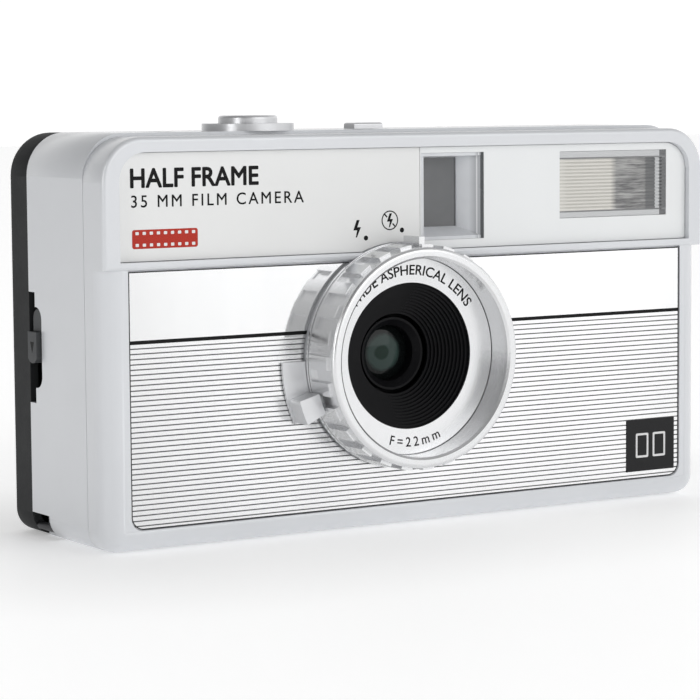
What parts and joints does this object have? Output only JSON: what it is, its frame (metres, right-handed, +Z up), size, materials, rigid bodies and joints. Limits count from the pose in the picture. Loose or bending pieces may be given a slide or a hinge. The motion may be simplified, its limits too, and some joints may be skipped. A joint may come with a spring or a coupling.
{
  "type": "half frame camera",
  "caption": "Compact 35 mm half frame film camera with a wide-angle lens, turning flash ring, built-in flash, viewfinder, hinged film door, thumbwheel advance and folding rewind crank.",
  "frame": {"origin": "middle of the camera's footprint, on the plane it stands on", "axes": "+Z up, -Y out of the lens (front), +X to the right seen from the front"},
  "size_m": [0.1114, 0.0392, 0.0633],
  "materials": {
    "battery_wrap": "shrink sleeve",
    "black_gloss": "glossy black",
    "black_plastic": "matte black",
    "board_green": "solder mask",
    "brass": "plain brass",
    "charcoal_plastic": "fine matte grain",
    "clear_glass": "clear",
    "coated_glass": "blue-green coated",
    "dark_metal": "blackened",
    "foam": "soft black foam",
    "frosted_plastic": "ribbed translucent",
    "mirror_foil": "bright reflector",
    "panel_gloss": "glossy cool white",
    "panel_grey": "satin warm grey",
    "polished_plate": "polished above, engraved with fine lines below",
    "shell_white": "satin silver-white paint on moulded plastic",
    "silver_metal": "satin anodised",
    "steel": "plain steel"
  },
  "bodies": {
    "camera_body": {"badge": "black_gloss", "barrel_nut": "dark_metal", "base_screws": "steel", "battery_cell": "battery_wrap", "button_bracket": "dark_metal", "button_collar": "silver_metal", "button_spring": "steel", "cartridge_chamber": "black_plastic", "chassis": "black_plastic", "circuit_board": "board_green", "counter_glass": "clear_glass", "face_plate": "polished_plate", "film_gate": "dark_metal", "finder_funnel": "panel_grey", "finder_lenses": "clear_glass", "finder_tube": "black_plastic", "flash_capacitor": "battery_wrap", "flash_diffuser": "frosted_plastic", "flash_reflector": "mirror_foil", "flash_tube": "clear_glass", "front_cover": "shell_white", "front_element": "coated_glass", "hinge_pin": "steel", "label_panel": "panel_grey", "latch_spring": "steel", "lens_barrel": "silver_metal", "lens_cell": "black_plastic", "light_baffle": "black_plastic", "mid_body": "shell_white", "name_ring": "silver_metal", "rear_element": "coated_glass", "shutter_plate": "black_plastic", "strap_bar": "steel", "tripod_nut": "brass", "window_panel": "panel_gloss"},
    "flash_ring": {"flash_ring": "silver_metal"},
    "star_lever": {"star_lever": "shell_white"},
    "star_filter": {"filter_arm": "black_plastic", "star_filter": "clear_glass"},
    "shutter_blade": {"shutter_blade": "dark_metal"},
    "back_door": {"back_door": "charcoal_plastic", "thumb_rest": "charcoal_plastic", "eyepiece_frame": "black_gloss", "door_windows": "clear_glass", "light_seals": "foam", "pressure_spring": "steel"},
    "pressure_plate": {"pressure_plate": "dark_metal"},
    "latch": {"latch_knob": "charcoal_plastic", "latch_slide": "charcoal_plastic"},
    "film_advance": {"advance_wheel": "charcoal_plastic", "takeup_spool": "black_plastic"},
    "sprocket": {"sprocket": "black_plastic"},
    "counter": {"counter_dial": "black_plastic"},
    "shutter_button": {"shutter_button": "silver_metal"},
    "bulb_slider": {"bulb_slider": "silver_metal"},
    "rewind_hub": {"rewind_hub": "black_plastic"},
    "rewind_crank": {"rewind_crank": "silver_metal"},
    "rewind_release": {"rewind_release": "black_plastic"},
    "battery_hatch": {"battery_hatch": "shell_white", "battery_contact": "brass"}
  },
  "joints": [
    {"name": "flash_ring_turn", "type": "hinge", "parent": "camera_body", "child": "flash_ring", "pos_m": [-0.004, 0, 0.0266], "axis": [0, -1, 0], "range_deg": [-5, 15]},
    {"name": "star_lever_turn", "type": "hinge", "parent": "camera_body", "child": "star_lever", "pos_m": [-0.004, 0, 0.0266], "axis": [0, -1, 0], "range_deg": [0, 24]},
    {"name": "star_filter_swing", "type": "hinge", "parent": "camera_body", "child": "star_filter", "pos_m": [0.00328, 0, 0.03271], "axis": [0, -1, 0], "range_deg": [-1, 59]},
    {"name": "shutter_blade_swing", "type": "hinge", "parent": "camera_body", "child": "shutter_blade", "pos_m": [-0.013, 0, 0.031], "axis": [0, -1, 0], "range_deg": [0, 25], "stiffness_Nm_per_rad": 0.0004, "springref_deg": -11.46},
    {"name": "back_door_hinge", "type": "hinge", "parent": "camera_body", "child": "back_door", "pos_m": [0.0543, 0.0122, 0.03], "axis": [0, 0, -1], "range_deg": [0, 110]},
    {"name": "pressure_plate_float", "type": "slide", "parent": "back_door", "child": "pressure_plate", "axis": [0, 1, 0], "range_m": [0, 0.0002], "stiffness_N_per_m": 60, "springref_m": -0.001},
    {"name": "latch_slide_down", "type": "slide", "parent": "camera_body", "child": "latch", "axis": [0, 0, -1], "range_m": [0, 0.0034], "stiffness_N_per_m": 120, "springref_m": -0.002, "deforming": ["latch_spring"]},
    {"name": "film_advance_turn", "type": "hinge", "parent": "camera_body", "child": "film_advance", "pos_m": [-0.0398, 0.0066, 0.052], "axis": [0, 0, 1], "continuous": true},
    {"name": "sprocket_turn", "type": "hinge", "parent": "camera_body", "child": "sprocket", "pos_m": [-0.0214, 0.00775, 0.0266], "axis": [0, 0, 1], "continuous": true},
    {"name": "counter_turn", "type": "hinge", "parent": "camera_body", "child": "counter", "pos_m": [-0.0398, 0.0066, 0.0558], "axis": [0, 0, 1], "continuous": true},
    {"name": "shutter_button_press", "type": "slide", "parent": "camera_body", "child": "shutter_button", "axis": [0, 0, -1], "range_m": [0, 0.0012], "stiffness_N_per_m": 500, "springref_m": -0.0006, "deforming": ["button_spring"]},
    {"name": "bulb_slider_move", "type": "slide", "parent": "camera_body", "child": "bulb_slider", "axis": [1, 0, 0], "range_m": [0, 0.003]},
    {"name": "rewind_hub_turn", "type": "hinge", "parent": "camera_body", "child": "rewind_hub", "pos_m": [0.0386, 0.0034, 0.002], "axis": [0, 0, 1], "continuous": true},
    {"name": "rewind_crank_fold", "type": "hinge", "parent": "rewind_hub", "child": "rewind_crank", "pos_m": [0.0442, 0.0034, 0.00075], "axis": [0, -1, 0], "range_deg": [0, 150]},
    {"name": "rewind_release_press", "type": "slide", "parent": "camera_body", "child": "rewind_release", "axis": [0, 0, 1], "range_m": [0, 0.001], "stiffness_N_per_m": 300, "springref_m": -0.0005},
    {"name": "battery_hatch_turn", "type": "hinge", "parent": "camera_body", "child": "battery_hatch", "pos_m": [0.0182, -0.0047, 0.00075], "axis": [-1, 0, 0], "range_deg": [0, 95]}
  ],
  "couplings": [
    {"joint": "star_filter_swing", "follows": "star_lever_turn", "ratio": 2.4083},
    {"joint": "sprocket_turn", "follows": "film_advance_turn", "ratio": 0.877},
    {"joint": "counter_turn", "follows": "film_advance_turn", "ratio": 0.05}
  ]
}
